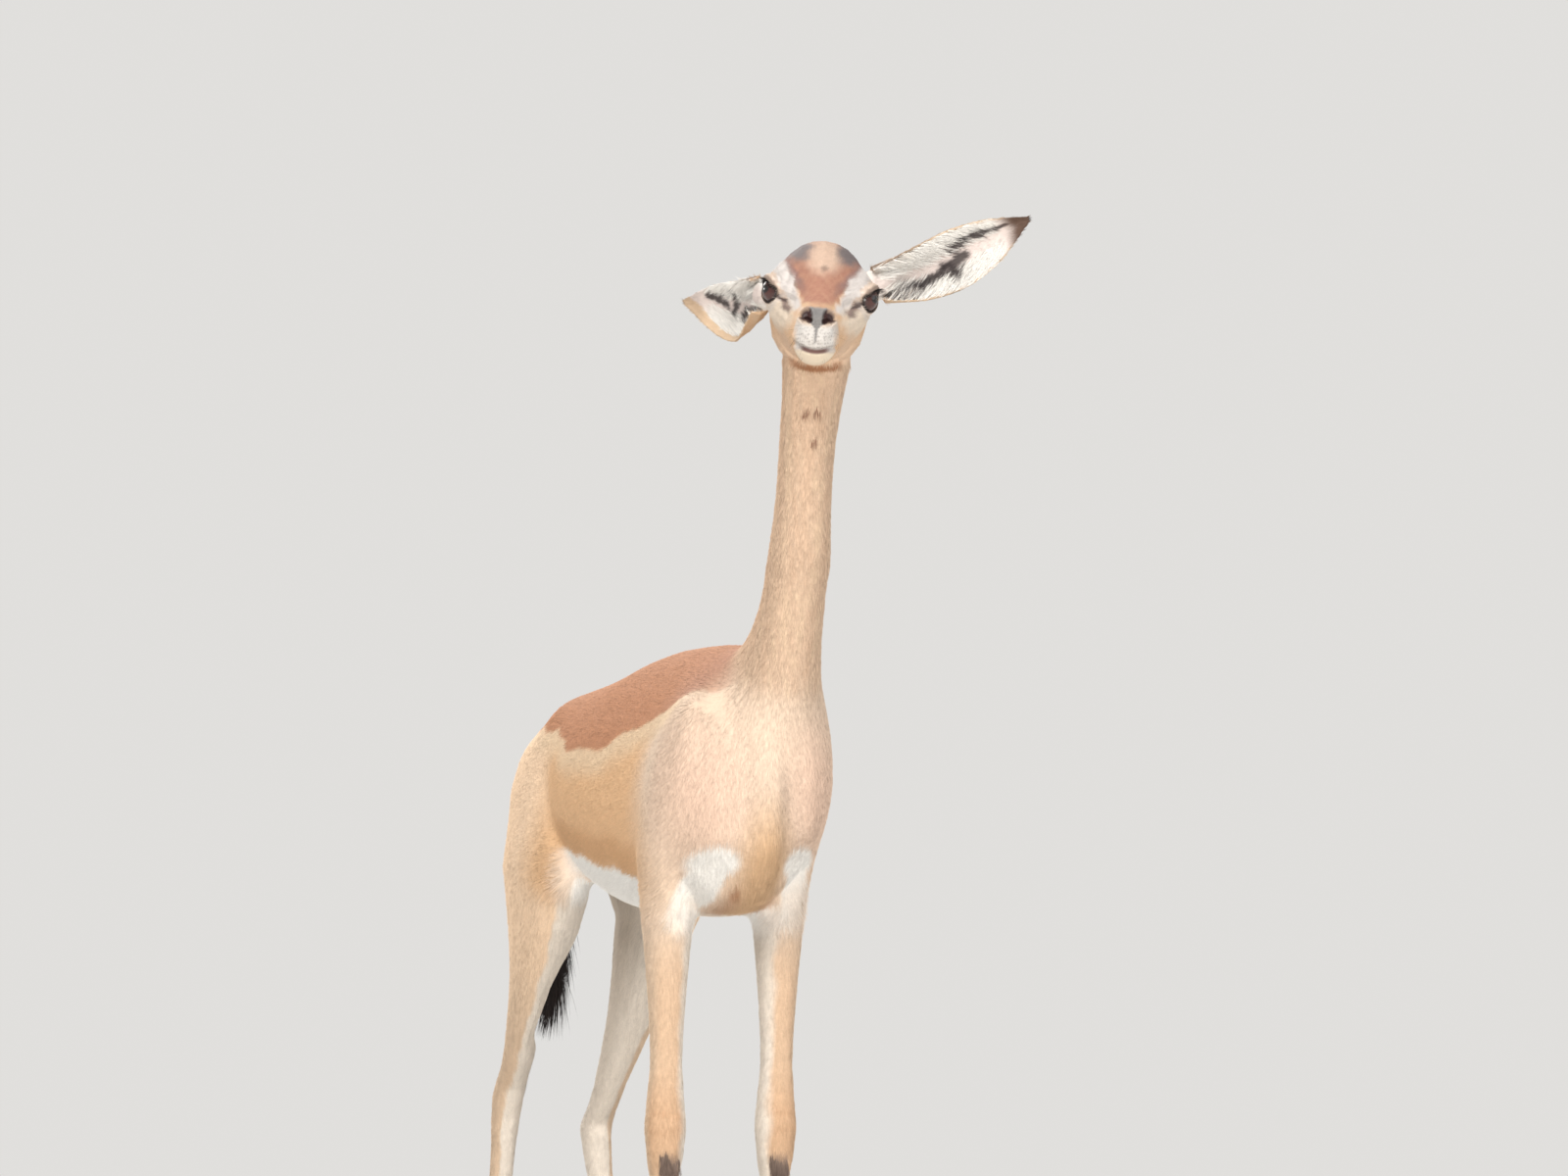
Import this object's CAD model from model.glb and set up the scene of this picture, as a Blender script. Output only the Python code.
"""A gerenuk, life size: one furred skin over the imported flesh, with eyes, hooves, brushes and a tail tuft.

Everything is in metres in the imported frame. Markings are laid out in millimetres, in the body's or the head's
own frame, as named functions of position that skin and coat share.
"""

from math import pi, radians, tau

import bmesh
import bpy
import numpy as np
from mathutils import Matrix, Vector
from mathutils.bvhtree import BVHTree


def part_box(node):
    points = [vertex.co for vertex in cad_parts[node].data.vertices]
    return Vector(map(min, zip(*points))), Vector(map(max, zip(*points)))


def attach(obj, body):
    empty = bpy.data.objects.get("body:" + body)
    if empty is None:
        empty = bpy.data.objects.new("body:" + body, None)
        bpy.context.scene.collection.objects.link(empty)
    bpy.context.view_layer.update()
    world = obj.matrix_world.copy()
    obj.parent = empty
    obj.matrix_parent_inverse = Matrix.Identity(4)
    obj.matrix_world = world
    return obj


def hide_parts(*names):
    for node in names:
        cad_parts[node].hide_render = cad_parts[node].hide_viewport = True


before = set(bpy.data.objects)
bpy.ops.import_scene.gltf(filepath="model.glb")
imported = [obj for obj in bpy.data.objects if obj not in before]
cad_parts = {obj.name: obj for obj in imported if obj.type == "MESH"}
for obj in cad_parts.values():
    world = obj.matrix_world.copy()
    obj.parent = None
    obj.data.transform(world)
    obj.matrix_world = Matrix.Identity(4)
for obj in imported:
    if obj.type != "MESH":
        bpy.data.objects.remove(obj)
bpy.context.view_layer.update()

MM = 0.001
SEED = 20
UP = np.array([0.0, 0.0, 1.0])
LEFT = 1
RIGHT = -1


# Frames of the head and the body

HEAD_YAW = radians(-18)
HEAD_ROLL = radians(5.5)
HEAD_PITCH = radians(-4)
EYE_RADIUS = 14.5
EYE_SIDE = 41
EYE_FORWARD = 15
MIDDLE_X = 8  # the trunk's middle plane, in the body's frame
HOCKS = [(19, 312, 349), (-73, 312, 386)]
DEWCLAWS = [(48, -173, 99), (-64, -173, 99), (18, 238, 97), (-82, 374, 109)]  # the middle of each pair
FACE_IN_BODY = np.array([32, -390, 1141])  # the point between the eyes, from the floor under the trunk


def middle(node):
    low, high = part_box(node)
    return np.array((low + high) / 2)


def unit(v):
    return v / np.maximum(np.linalg.norm(v, axis=-1, keepdims=True), 1e-12)


TURNS = [(HEAD_YAW, "Z"), (HEAD_ROLL, "Y"), (HEAD_PITCH, "X")]
YAW, ROLL, PITCH = (Matrix.Rotation(angle, 3, axis) for angle, axis in TURNS)
HEAD_AXES = np.array(YAW @ ROLL @ PITCH)
BETWEEN_EYES = (middle("eye_left") + middle("eye_right")) / 2
FACE = BETWEEN_EYES - HEAD_AXES @ np.array([0, -EYE_FORWARD * MM, 0])
BODY = FACE - FACE_IN_BODY * MM


def in_body(points):
    """Millimetres: x to her left, y towards her tail, z up from the floor."""
    return (points - BODY) / MM


def from_body(*place):
    return BODY + np.array(place) * MM


def in_head(points):
    """Millimetres from the point between the eyes: x to her left, y backwards, z up along the face."""
    return (points - FACE) @ HEAD_AXES / MM


def from_head(*place):
    return FACE + HEAD_AXES @ (np.array(place) * MM)


TO_VIEWER = np.array([np.sin(HEAD_YAW), -np.cos(HEAD_YAW), 0])
VIEWERS_RIGHT = np.array([np.cos(HEAD_YAW), np.sin(HEAD_YAW), 0])


def seen(right, up, near):
    """A direction as seen from in front of the face."""
    return unit(VIEWERS_RIGHT * right + UP * up + TO_VIEWER * near)


# Small tools on arrays


def smooth(low, high, x):
    """0 below low, 1 above high, and an even turn between them. It falls where low is above high."""
    t = np.clip((x - low) / (high - low), 0, 1)
    return t * t * (3 - 2 * t)


def band(x, centre, half, soft):
    return 1 - smooth(half - soft, half + soft, np.abs(x - centre))


def spot(u, v, at, size, soft=0.35):
    """1 inside an oval spot and 0 outside it."""
    reach = np.hypot((u - at[0]) / size[0], (v - at[1]) / size[1])
    return 1 - smooth(1 - soft, 1 + soft, reach)


def streak(u, v, start, end, half, soft=0.4):
    """1 on a stripe between two points and 0 away from it."""
    start, end = np.array(start, float), np.array(end, float)
    way = end - start
    t = np.clip(((u - start[0]) * way[0] + (v - start[1]) * way[1]) / (way @ way), 0, 1)
    away = np.hypot(u - start[0] - t * way[0], v - start[1] - t * way[1])
    return 1 - smooth(half * (1 - soft), half * (1 + soft), away)


def ripple(points, size, seed=0):
    """Smooth unevenness from -1 to 1 with blotches about size across, as a sum of slanted waves."""
    rng = np.random.default_rng(SEED + seed)
    total = np.zeros(len(points))
    for _ in range(6):
        way = unit(rng.normal(size=3)) * tau / size * rng.uniform(0.5, 1.1)
        total += np.sin(points @ way + rng.uniform(0, tau))
    return total / 3


def linear(rgb):
    """A colour given as 0 to 255 a channel, as light."""
    c = np.array(rgb) / 255
    return np.where(c <= 0.04045, c / 12.92, ((c + 0.055) / 1.055) ** 2.4)


def paint(base, colour, amount):
    return base + (linear(colour) - base) * np.clip(amount, 0, 1)[:, None]


def painted(points, base, *layers):
    """A colour for each point: base, then layers of other colours, each with its amount."""
    colour = np.broadcast_to(linear(base), points.shape)
    for tint, amount in layers:
        colour = paint(colour, tint, amount)
    return colour


# The skin, made from the flesh nodes

FORELEGS = [f"foreleg_{side}_{part}" for side in ("left", "right") for part in ("forearm", "cannon")]
GASKINS = [f"hindleg_{side}_gaskin" for side in ("left", "right")]
REAR_CANNONS = [f"hindleg_{side}_cannon" for side in ("left", "right")]
HEAD_NODES = ["head", "ear_left", "ear_right"]
BODY_NODES = ["torso", *FORELEGS, *GASKINS, *REAR_CANNONS]
REGIONS = {
    "trunk": ["torso"],
    "neck": ["neck"],
    "head": ["head"],
    "ear_left": ["ear_left"],
    "ear_right": ["ear_right"],
    "foreleg": FORELEGS,
    "gaskin": GASKINS,
    "rear_cannon": REAR_CANNONS,
    "tail": ["tail"],
}
NAMES = list(REGIONS)
LEG_REGIONS = ("foreleg", "gaskin", "rear_cannon")
BODY_VOXEL = 3.4 * MM
HEAD_VOXEL = 1.0 * MM
CLOSING = 0.5 * MM  # more than half the cuts between the nodes
JOIN_HEIGHT = 1040 * MM  # the finer head part meets the body part on the neck
JOIN_BAND = 3 * MM


def welded(nodes, grow):
    """The nodes as one mesh, each grown a little so that the cuts between them close."""
    flesh = bmesh.new()
    for node in nodes:
        flesh.from_mesh(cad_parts[node].data)
    bmesh.ops.remove_doubles(flesh, verts=flesh.verts, dist=0.01 * MM)
    flesh.normal_update()
    for v in flesh.verts:
        v.co += v.normal * grow
    return flesh


def add_rings(flesh, rings, closed):
    """Skins a row of rings onto the mesh. The row closes on itself, or its ends are capped."""
    rows = [[flesh.verts.new(p) for p in ring] for ring in rings]
    made = []
    for one, two in zip(rows, rows[1:] + rows[:1] if closed else rows[1:]):
        for corners in zip(one, one[1:] + one[:1], two[1:] + two[:1], two):
            made.append(flesh.faces.new(corners))
    if not closed:
        made += [flesh.faces.new(rows[0][::-1]), flesh.faces.new(rows[-1])]
    bmesh.ops.recalc_face_normals(flesh, faces=made)


# The dock and the fleshy part of the tail, from the rump down: a point and the half width there
TAIL_CORE = [
    ((0, 300, 742), 15), ((0, 332, 740), 14), ((0, 352, 724), 12.5), ((0, 363, 694), 10.5),
    ((0, 369, 660), 9), ((-1, 371, 625), 8), ((-3, 373, 580), 7), ((-4, 373, 540), 6),
    ((-6, 374, 505), 5), ((-8, 374, 475), 3),
]
TAIL_DEPTH = 0.85  # as a share of its width


def add_tail(flesh):
    centres = np.array([place for place, _ in TAIL_CORE], float)
    right = np.array([1.0, 0, 0])
    turns = np.arange(12) * tau / 12
    rings = []
    for centre, (_, half), way in zip(centres, TAIL_CORE, unit(np.gradient(centres, axis=0))):
        back = TAIL_DEPTH * unit(np.cross(way, right))
        ring = np.outer(np.cos(turns), right) + np.outer(np.sin(turns), back)
        rings.append(BODY + (centre + half * ring) * MM)
    add_rings(flesh, rings, closed=False)


def eye_axes(side):
    """Out of an eye, from its inner corner to its outer one, and up over it."""
    facing = unit(np.array([side * 0.84, -0.53, -0.06]))
    across = unit(np.cross([side * 0.1, -0.42, 1], facing)) * side
    rise = np.cross(facing, across) * side
    return [HEAD_AXES @ v for v in (facing, across, rise)]


# The lids' edge in degrees: a direction round the eye from its outer corner over the top, and how far out
LID_EDGE = [
    (-180, 54), (-144, 52), (-107, 52), (-80, 50), (-45, 47), (-20, 51), (0, 56),
    (25, 46), (55, 34), (90, 27), (125, 29), (152, 38), (180, 54),
]
# A lid in section: degrees past its edge, millimetres from the eye's centre, and 1 where the fold swells it
LID_SECTION = [
    (0, 15.5, 0), (0, 16.5, 0), (5, 17.2, 1), (15, 17.4, 1), (27, 16.9, 1), (40, 14.8, 0), (20, 14.6, 0),
]


def lid_opening(turn):
    """The angle at the eyeball's centre from the middle of the eye to the lids' edge, going out at turn."""
    turns, angles = np.array(LID_EDGE).T
    return np.radians(np.interp(np.degrees(turn), turns, angles))


def add_lids(flesh, side):
    """The lids of one eye: a ring of skin that rests on the eyeball and is open in an almond."""
    centre = from_head(side * EYE_SIDE, -EYE_FORWARD, 0)
    facing, across, rise = eye_axes(side)
    rings = []
    for turn in np.linspace(-pi, pi, 64, endpoint=False):
        out = across * np.cos(turn) + rise * np.sin(turn)
        heavy = 1.6 * smooth(-0.1, 0.9, np.sin(turn))
        ring = []
        for degrees, radius, swells in LID_SECTION:
            a = lid_opening(turn) + radians(degrees)
            reach = (radius + swells * heavy) * MM
            ring.append(centre + (facing * np.cos(a) + out * np.sin(a)) * reach)
        rings.append(ring)
    add_rings(flesh, rings, closed=True)


def voxelled(flesh, size):
    """One closed surface round a mesh, of even small faces."""
    mesh = bpy.data.meshes.new("flesh")
    flesh.to_mesh(mesh)
    flesh.free()
    body = bpy.data.objects.new("flesh", mesh)
    bpy.context.scene.collection.objects.link(body)
    remesh = body.modifiers.new("voxels", "REMESH")
    remesh.mode = "VOXEL"
    remesh.voxel_size = size
    found = bpy.data.meshes.new_from_object(body.evaluated_get(bpy.context.evaluated_depsgraph_get()))
    bpy.data.objects.remove(body)
    return found


def keep_side(mesh, height, upward):
    """The part of a mesh above or below a level."""
    part = bmesh.new()
    part.from_mesh(mesh)
    normal = (0, 0, -1) if upward else (0, 0, 1)
    everything = part.verts[:] + part.edges[:] + part.faces[:]
    bmesh.ops.bisect_plane(part, geom=everything, plane_co=(0, 0, height), plane_no=normal, clear_outer=True)
    kept = bpy.data.meshes.new("part")
    part.to_mesh(kept)
    part.free()
    return kept


def drop_scraps(flesh, fewest=1000):
    """Takes away the small loose shells that voxels leave in narrow hollows."""
    unseen = set(flesh.verts)
    while unseen:
        island = [unseen.pop()]
        for v in island:
            for edge in v.link_edges:
                other = edge.other_vert(v)
                if other in unseen:
                    unseen.remove(other)
                    island.append(other)
        if len(island) < fewest:
            bmesh.ops.delete(flesh, geom=island, context="VERTS")


def flesh_mesh():
    """The whole animal as one surface, fine on the head and coarser below the top of the neck."""
    low = welded([*BODY_NODES, "neck"], CLOSING)
    add_tail(low)
    low = voxelled(low, BODY_VOXEL)
    high = welded([*HEAD_NODES, "neck"], CLOSING * 0.7)
    for side in (LEFT, RIGHT):
        add_lids(high, side)
    high = voxelled(high, HEAD_VOXEL)
    whole = bmesh.new()
    whole.from_mesh(keep_side(low, JOIN_HEIGHT - JOIN_BAND, upward=False))
    whole.from_mesh(keep_side(high, JOIN_HEIGHT, upward=True))
    rims = [e for e in whole.edges if e.is_boundary]
    bmesh.ops.bridge_loops(whole, edges=rims)
    drop_scraps(whole)
    bmesh.ops.triangulate(whole, faces=whole.faces)
    bmesh.ops.recalc_face_normals(whole, faces=whole.faces)
    mesh = bpy.data.meshes.new("skin")
    whole.to_mesh(mesh)
    whole.free()
    return mesh


def read(items, name, count, kind=np.float64):
    values = np.zeros(len(items) * count, kind)
    items.foreach_get(name, values)
    return values.reshape(-1, count) if count > 1 else values


def averaged(values, edges, count):
    """Each vertex's mean over its neighbours."""
    a, b = edges.T
    near = np.maximum(np.bincount(a, minlength=count) + np.bincount(b, minlength=count), 1)
    columns = []
    for c in range(values.shape[1]):
        sums = np.bincount(a, values[b, c], count) + np.bincount(b, values[a, c], count)
        columns.append(sums / near)
    return np.stack(columns, 1)


def relaxed(points, edges, weight, rounds):
    """Smoothing that takes facets off and keeps the volume: each round pulls in and pushes back out."""
    pull, push = 0.62, -0.64
    for _ in range(rounds):
        for factor in (pull, push):
            points = points + (averaged(points, edges, len(points)) - points) * (factor * weight)[:, None]
    return points


def softened(points, edges, weight, rounds):
    """Plain smoothing where weight is above 0, which takes ridges and steps off."""
    part = np.flatnonzero(weight > 0.01)
    number = np.full(len(points), -1)
    number[part] = np.arange(len(part))
    near = number[edges]
    near = near[(near >= 0).all(1)]
    values, amount = points[part], 0.6 * weight[part][:, None]
    for _ in range(rounds):
        values = values + (averaged(values, near, len(part)) - values) * amount
    found = points.copy()
    found[part] = values
    return found


def nearest_regions(points):
    """For each point the number of the region whose CAD node is nearest."""
    corners, faces, owner = [], [], []
    start = 0
    for number, nodes in enumerate(REGIONS.values()):
        for node in nodes:
            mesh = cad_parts[node].data
            mesh.calc_loop_triangles()
            corners.append(read(mesh.vertices, "co", 3))
            triangles = read(mesh.loop_triangles, "vertices", 3, np.int32)
            faces.append(triangles + start)
            owner += [number] * len(triangles)
            start += len(mesh.vertices)
    tree = BVHTree.FromPolygons(np.concatenate(corners).tolist(), np.concatenate(faces).tolist())
    return np.array([owner[tree.find_nearest(p)[2]] for p in points.tolist()])


class Skin:
    """The skin's mesh with what the coat needs at each vertex."""

    def __init__(self):
        self.mesh = flesh_mesh()
        self.points = read(self.mesh.vertices, "co", 3)
        self.edges = read(self.mesh.edges, "vertices", 2, np.int32)
        self.region = nearest_regions(self.points)
        share = np.eye(len(NAMES))[self.region]
        for _ in range(14):
            share = averaged(share, self.edges, len(share))
        self.share = share
        self.relax()
        self.sculpt()
        self.sink()

    def of(self, *names):
        return sum(self.share[:, NAMES.index(n)] for n in names)

    def relax(self):
        fine = self.of("head", "ear_left", "ear_right")
        head = in_head(self.points)
        calm = 1 - face_features(head) * self.of("head")
        _, y, z = in_body(self.points).T
        broad = self.of("trunk") + self.of("neck") * smooth(900, 820, z)
        shoulders = broad * smooth(-30, -110, y) * smooth(600, 680, z)
        self.points = softened(self.points, self.edges, broad, 26)
        self.points = softened(self.points, self.edges, shoulders, 300)
        hocks = self.of("gaskin", "rear_cannon") * band(z, 372, 70, 30)
        self.points = softened(self.points, self.edges, hocks, 8)
        self.points = softened(self.points, self.edges, around_hocks(in_body(self.points)) * hocks, 170)
        self.store()
        self.points = self.points + self.normals * (1.8 * shoulders[:, None] * MM)
        self.points = relaxed(self.points, self.edges, (1 - fine) ** 2, 22)
        self.points = relaxed(self.points, self.edges, fine * calm, 16)
        self.points = relaxed(self.points, self.edges, np.full(len(fine), 0.7), 2)
        self.store()

    def sculpt(self):
        head = in_head(self.points)
        self.points = self.points + folds(head, self.normals, self.of("head")) - slimmer_gaskin(self)
        self.points = self.points + chest_forms(in_body(self.points), self.normals, self.of("trunk"))
        self.points = relaxed(self.points, self.edges, nostrils(head, 3) * self.of("head") * 0.9, 5)
        self.store()

    def sink(self):
        """Lets the skin in by the coat's depth."""
        self.points = self.points - self.normals * (coat_depth(self)[:, None] * MM)
        self.store()
        self.mesh.calc_loop_triangles()
        self.triangles = read(self.mesh.loop_triangles, "vertices", 3, np.int32)

    def store(self):
        self.mesh.vertices.foreach_set("co", self.points.ravel())
        self.mesh.update()
        self.normals = read(self.mesh.vertex_normals, "vector", 3)


# What the face's parts do to the skin


FACE_SLOPE = 0.155  # how much a place further forward shows higher from in front, a millimetre


def shown_level(head):
    """As high on the face as a place shows from in front."""
    return head[:, 2] - FACE_SLOPE * head[:, 1]


def over_eye(head):
    """For the nearer eye: distance from its centre, angle from its middle, and which way that is round it."""
    mirrored = np.c_[np.abs(head[:, 0]), head[:, 1:]]
    away = mirrored - np.array([EYE_SIDE, -EYE_FORWARD, 0])
    out, across, rise = (away @ (axis @ HEAD_AXES) for axis in eye_axes(LEFT))
    return np.linalg.norm(away, axis=1), np.arctan2(np.hypot(across, rise), out), np.arctan2(rise, across)


def face_features(head):
    """1 at the lids, nostrils and mouth, where smoothing would wash the form out."""
    reach, angle, _ = over_eye(head)
    eye = smooth(23, 19, reach) * smooth(1.75, 1.5, angle)
    return 0.8 * np.clip(eye + nostrils(head, 3), 0, 1)


def nostrils(head, wider=0.0):
    """1 in the comma of each nostril: a wide hole outside with a tail that runs inwards and down."""
    side, level = np.abs(head[:, 0]), shown_level(head)
    outward, upward = side - 11.9, level + 17.7
    along, across = (outward + upward) / 1.41, (outward - upward) / 1.41
    hole = spot(along, across, (0.4, 0), (7.3 + wider, 6.7 + wider), 0.2)
    tail = streak(along, across, (0, 0), (-7.0, 0.6), 2.8 + wider, 0.3)
    return np.maximum(hole, tail) * smooth(-87, -92, head[:, 1])


def mouth_level(head):
    """The height of the line between the lips, which climbs towards its corners."""
    return -70.5 + 0.022 * np.minimum(np.abs(head[:, 0]), 23) ** 2


def folds(head, normals, on_head):
    """Sculpted moves of the head's skin, in metres."""
    x, y, z = np.abs(head[:, 0]), head[:, 1], head[:, 2]
    level = shown_level(head)
    front = smooth(-96, -108, y)
    out = -4.2 * nostrils(head)
    out += 0.8 * (nostrils(head, 2.6) - nostrils(head, 0.4))  # the rims of the nostrils
    out += 2.8 * spot(x, level, (15.5, -12.5), (6.5, 7), 0.8) * band(y, -95, 11, 6)  # the wings over them
    out -= 1.1 * band(x, 0, 1.5, 1.4) * front * band(level, -36, 11, 5)  # the groove from nose to lip
    out += 1.6 * spot(x, level, (9.5, -40), (9, 9), 0.6) * front  # the two halves of the upper lip
    lips = z - mouth_level(head)
    out -= 2.4 * band(lips, 0, 1.7, 1.6) * smooth(-66, -80, y)
    out += 0.9 * (band(lips, 5, 3, 2.5) + band(lips, -5, 3, 2.5)) * smooth(-80, -100, y)
    out -= 1.6 * streak(y, z, (-31, -8), (-52, -17), 3.4) * smooth(20, 26, x)  # tear groove before the eye
    out += 1.4 * streak(y, z, (-32, 2), (-54, -8), 3.6) * smooth(16, 24, x)  # the fold above it
    return normals * (out * on_head)[:, None] * MM


def chest_forms(body, normals, on_trunk):
    """The ridge of the breastbone, the hollows beside it and the shoulder points, in metres."""
    side, z = np.abs(body[:, 0] - MIDDLE_X), body[:, 2]
    out = 3.5 * spot(side, z, (0, 640), (15, 80), 0.7)
    out -= 4.5 * spot(side, z, (27, 640), (14, 62), 0.8)
    out += 3.5 * spot(side, z, (64, 668), (30, 52), 0.8)
    out -= 5.0 * spot(side, z, (44, 588), (17, 26), 0.7)
    front = smooth(-205, -240, body[:, 1]) * smooth(0.1, 0.6, -normals[:, 1])
    return normals * (out * front * on_trunk)[:, None] * MM


def around_hocks(body):
    """1 at the point of each hock and in the hollow over it."""
    return sum(smooth(44, 26, np.linalg.norm(body - (x, y + 16, z + 36), axis=1)) for x, y, z in HOCKS)


def slimmer_gaskin(skin):
    """What comes off the inner side of her right shank above the hock, in metres."""
    x, _, z = in_body(skin.points).T
    shank = skin.of("gaskin") * smooth(-20, -34, x) * smooth(375, 420, z) * smooth(545, 480, z)
    faces = smooth(0, 0.8, skin.normals @ VIEWERS_RIGHT)
    return VIEWERS_RIGHT * (9 * MM * shank * faces)[:, None]


def coat_depth(skin):
    """How far the skin lies under the coat's surface, in millimetres."""
    depths = {
        ("trunk", "tail"): 1.4, ("neck",): 2.0, LEG_REGIONS: 1.5,
        ("head",): 0.9, ("ear_left", "ear_right"): 0.5,
    }
    depth = sum(skin.of(*regions) * value for regions, value in depths.items())
    head = in_head(skin.points)
    on_head = skin.of("head")
    return depth - (0.4 * smooth(-50, -90, head[:, 1]) + 0.5 * face_features(head)) * on_head


# Which way the coat lies


def lie(skin):
    """The direction of the hair at each vertex, along the skin."""
    body = in_body(skin.points)
    y = body[:, 1]
    breast = smooth(-215, -285, y)[:, None]
    rump = smooth(190, 290, y)[:, None]
    trunk = np.array([0, 1, -0.28]) * (1 - breast) * (1 - rump)
    trunk = trunk + np.array([0, 0.25, -1]) * breast + np.array([0, 0.3, -1]) * rump
    ways = {
        "trunk": trunk,
        "neck": np.array([-0.04, 0.25, -0.97]),
        "head": HEAD_AXES @ np.array([0, 1, 0]),
        "ear_left": EARS["left"].along,
        "ear_right": EARS["right"].along,
        "foreleg": np.array([0, 0.12, -1]),
        "gaskin": np.array([0, 0.5, -0.85]),
        "rear_cannon": np.array([0, -0.2, -1]),
        "tail": np.array([0, 0.1, -1]),
    }
    flow = sum(skin.of(name)[:, None] * unit(np.broadcast_to(way, body.shape)) for name, way in ways.items())
    for _ in range(6):
        flow = averaged(flow, skin.edges, len(flow))
    flow = flow - skin.normals * (flow * skin.normals).sum(1, keepdims=True)
    return unit(flow + 1e-9)


# The ears' own frames


class Ear:
    """Places in one ear: along it and towards its lower rim in half widths, and how far inside they are."""

    LENGTH = 162
    HALF_WIDTH = 29
    CUP_START = 10
    OUTLINE = (
        [0, 0.2, 0.35, 0.49, 0.62, 0.75, 0.86, 0.94, 1],
        [0.6, 0.84, 0.95, 1, 0.93, 0.74, 0.47, 0.25, 0.08],
    )

    def __init__(self, side, root, along, opening, belly, strokes, dark_tip):
        self.side = side
        self.root = from_head(*root)
        self.along = along
        self.across = unit(np.cross(along, opening))
        self.facing = unit(np.cross(self.across, along))
        self.belly = belly
        self.strokes = strokes
        self.dark_tip = dark_tip

    def places(self, points, normals):
        away = (points - self.root) / MM
        t = ((away @ self.along - self.CUP_START) / self.LENGTH).clip(0, 1)
        middle_line = self.belly * np.sin(pi * t**0.9)
        wide = np.interp(t, *self.OUTLINE)
        low = ((away @ self.across) * self.side - middle_line) / (self.HALF_WIDTH * wide)
        inside = smooth(-0.25, 0.25, normals @ self.facing)
        return t * self.LENGTH / self.HALF_WIDTH, low, inside


# The dark strokes inside an ear: start, end and half width, each as (along, low) in half widths
LEFT_STROKES = [
    ((0.1, 0.66), (1.4, 0.46), 0.1), ((1.4, 0.46), (2.4, 0.16), 0.12), ((2.4, 0.14), (3.2, 0.02), 0.18),
    ((2.6, 0.1), (2.75, 0.55), 0.11), ((2.8, -0.3), (3.4, -0.5), 0.08), ((3.4, -0.5), (4.8, -0.45), 0.09),
]
RIGHT_STROKES = [
    ((0.6, 0.55), (2.2, 0.2), 0.2), ((2.6, -0.4), (3.1, 0.2), 0.15), ((3.5, 0.0), (4.3, -0.1), 0.17),
]
EARS = {
    "left": Ear(LEFT, (43, 26, 16), seen(157, 71, -26), seen(0.1, -0.14, 1), 8.5, LEFT_STROKES, 1.0),
    "right": Ear(RIGHT, (-45, 28, 3), seen(-78, 21, -150), seen(-0.8, -0.12, 0.56), 17, RIGHT_STROKES, 0.3),
}


# Markings

SADDLE = (194, 139, 105)
SADDLE_FRONT = (187, 140, 116)
STRIPE = (233, 205, 172)
FLANK = (230, 187, 144)
FLANK_BAND = (212, 165, 121)
BELLY = (254, 251, 246)
SHOULDER = (231, 206, 183)
ROSE = (236, 196, 174)
BREAST = (214, 176, 138)
HAUNCH = (248, 216, 184)
NECK = (221, 190, 163)
NAPE = (204, 160, 126)
SCAB = (112, 68, 52)
HORN = (92, 80, 73)
LEG = (224, 196, 168)
LEG_FRONT = (216, 178, 144)
LEG_INSIDE = (234, 222, 208)
HOCK = (158, 122, 92)
FOREHEAD = (166, 119, 101)
WEDGE_EDGE = (136, 110, 106)
CROWN = (222, 194, 172)
BLUE_GREY = (118, 110, 110)
TEAR = (128, 108, 102)
SOOT = (92, 78, 74)
BRIDGE = (206, 174, 140)
WHITE = (247, 243, 237)
BROW = (214, 206, 201)
CHEEK = (216, 178, 142)
CHEEK_WHITE = (224, 207, 188)
LID = (120, 102, 92)
NOSE = (126, 123, 121)
NOSTRIL = (56, 34, 33)
LIP = (198, 196, 193)
MOUTH = (112, 84, 80)
CHIN = (224, 208, 186)
CHIN_EDGE = (158, 100, 60)
EAR_SKIN = (226, 211, 204)
EAR_BACK = (206, 172, 138)
EAR_RIM = (214, 186, 156)
EAR_TIP = (96, 74, 62)
EAR_DARK = (58, 50, 50)
LASH = (36, 28, 26)
BRUSH = (118, 100, 90)
TAIL_DARK = (40, 33, 32)
EAR_HAIR = (248, 243, 236)


SADDLE_EDGE = (
    [-290, -240, -154, -60, -27, 38, 80, 127, 230, 330],
    [800, 768, 748, 730, 721, 721, 727, 741, 752, 752],
)  # places along the body, and the height of the dark saddle's lower edge there
BELLY_EDGE = ([-300, -185, -20, 90, 170, 260, 330], [574, 586, 606, 622, 640, 640, 630])  # where white ends


def over_belly(body):
    return body[:, 2] - np.interp(body[:, 1], *BELLY_EDGE)


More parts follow.
